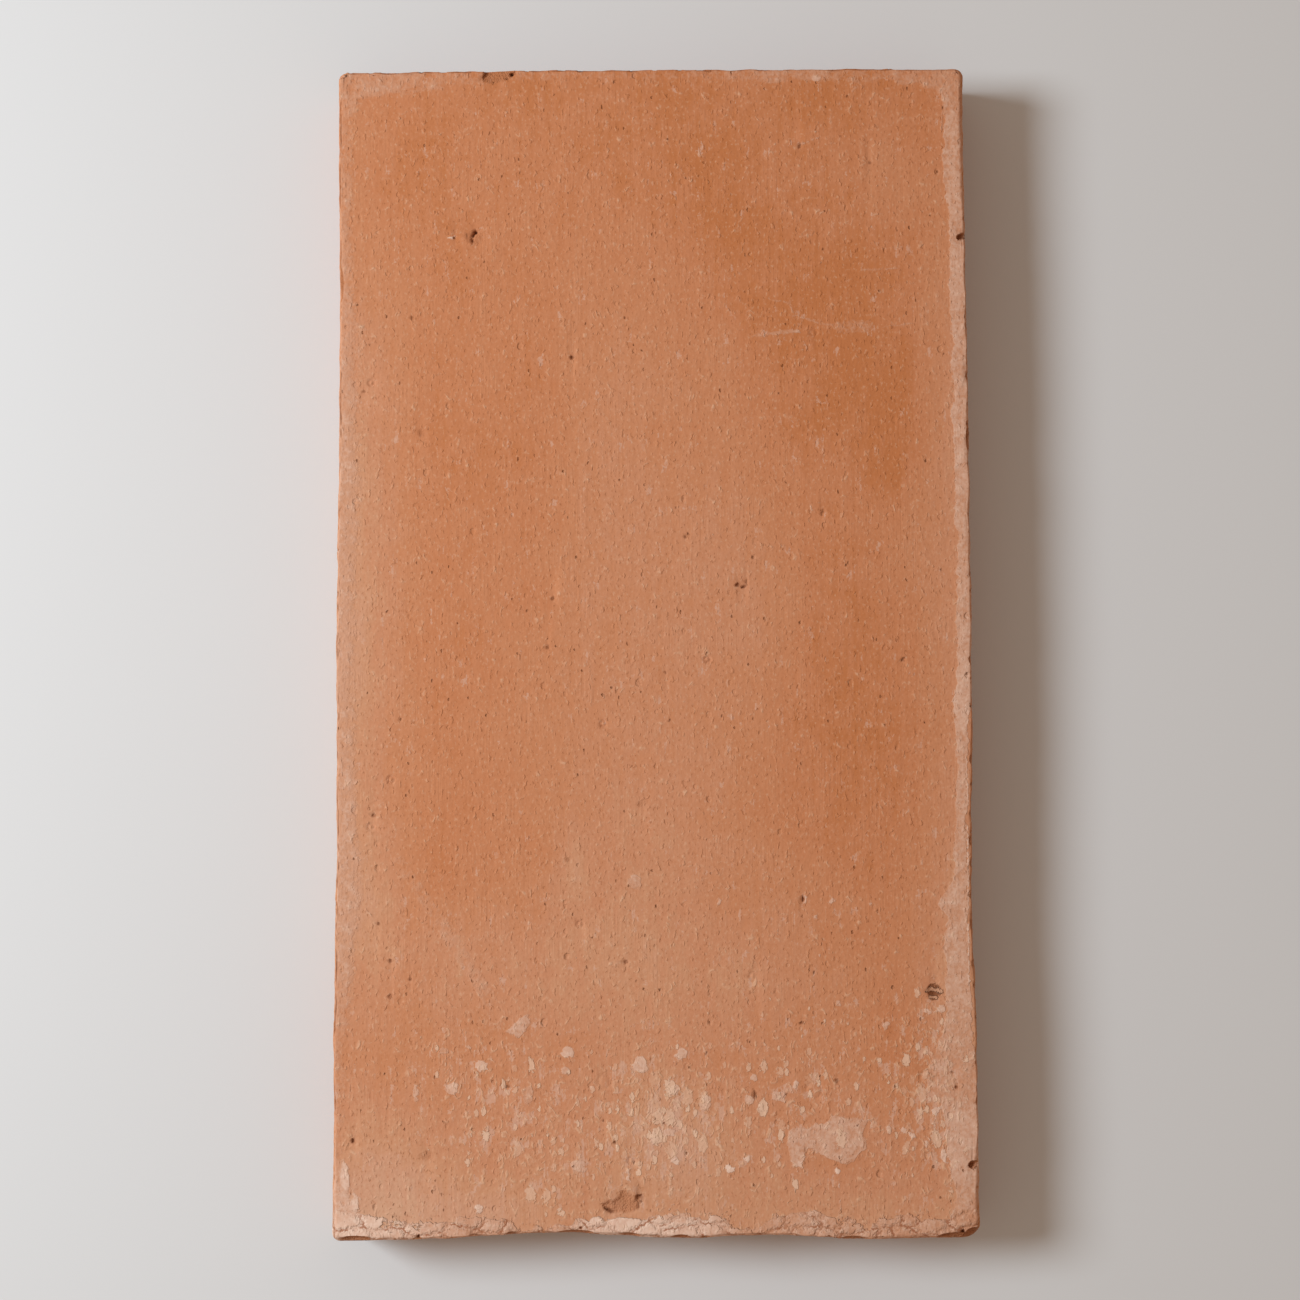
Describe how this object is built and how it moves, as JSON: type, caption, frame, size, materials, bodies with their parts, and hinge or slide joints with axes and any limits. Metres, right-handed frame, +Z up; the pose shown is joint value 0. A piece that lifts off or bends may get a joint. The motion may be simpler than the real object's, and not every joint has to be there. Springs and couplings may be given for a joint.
{
  "type": "terracotta tile",
  "caption": "Handmade terracotta paving tile: a flat fired-clay slab with struck face, worn arrises, chipped edges and traces of lime, to be bedded on its back.",
  "frame": {"origin": "middle of the bed, the face that the tile is laid on", "axes": "+X across the width, +Y along the length towards the end with the broad chip, +Z up through the show face"},
  "size_m": [0.2176, 0.4, 0.03],
  "materials": {
    "terracotta": "unglazed fired clay, matt, orange to pink, with fine drag lines along its length, pores, rubbed edges and thin pale lime"
  },
  "bodies": {
    "root": {"tile": "terracotta"}
  },
  "joints": []
}
